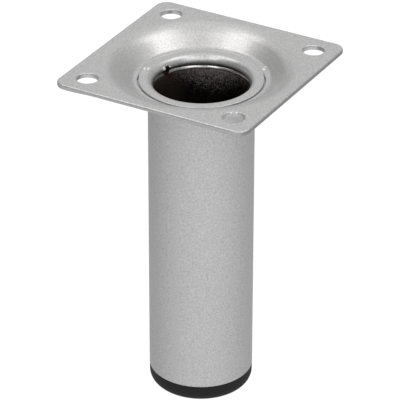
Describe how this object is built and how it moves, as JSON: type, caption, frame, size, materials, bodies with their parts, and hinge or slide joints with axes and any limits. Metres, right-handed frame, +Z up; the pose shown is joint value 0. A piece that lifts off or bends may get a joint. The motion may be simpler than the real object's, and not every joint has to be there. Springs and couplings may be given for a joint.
{
  "type": "furniture leg",
  "caption": "Short round furniture leg: dished square steel plate with screw holes, silver coated tube flanged into the dish, and a black moulded foot.",
  "frame": {"origin": "centre of the foot's sole, on the floor and on the leg's axis", "axes": "+Z up along the tube to the mounting plate, X and Y along the plate's sides"},
  "size_m": [0.06, 0.06, 0.1025],
  "materials": {
    "silver_coat": "satin silver powder coat with a fine fleck",
    "black_plastic": "matte moulded black"
  },
  "bodies": {
    "root": {"mounting_plate": "silver_coat", "leg_tube": "silver_coat", "foot_cap": "black_plastic"}
  },
  "joints": []
}
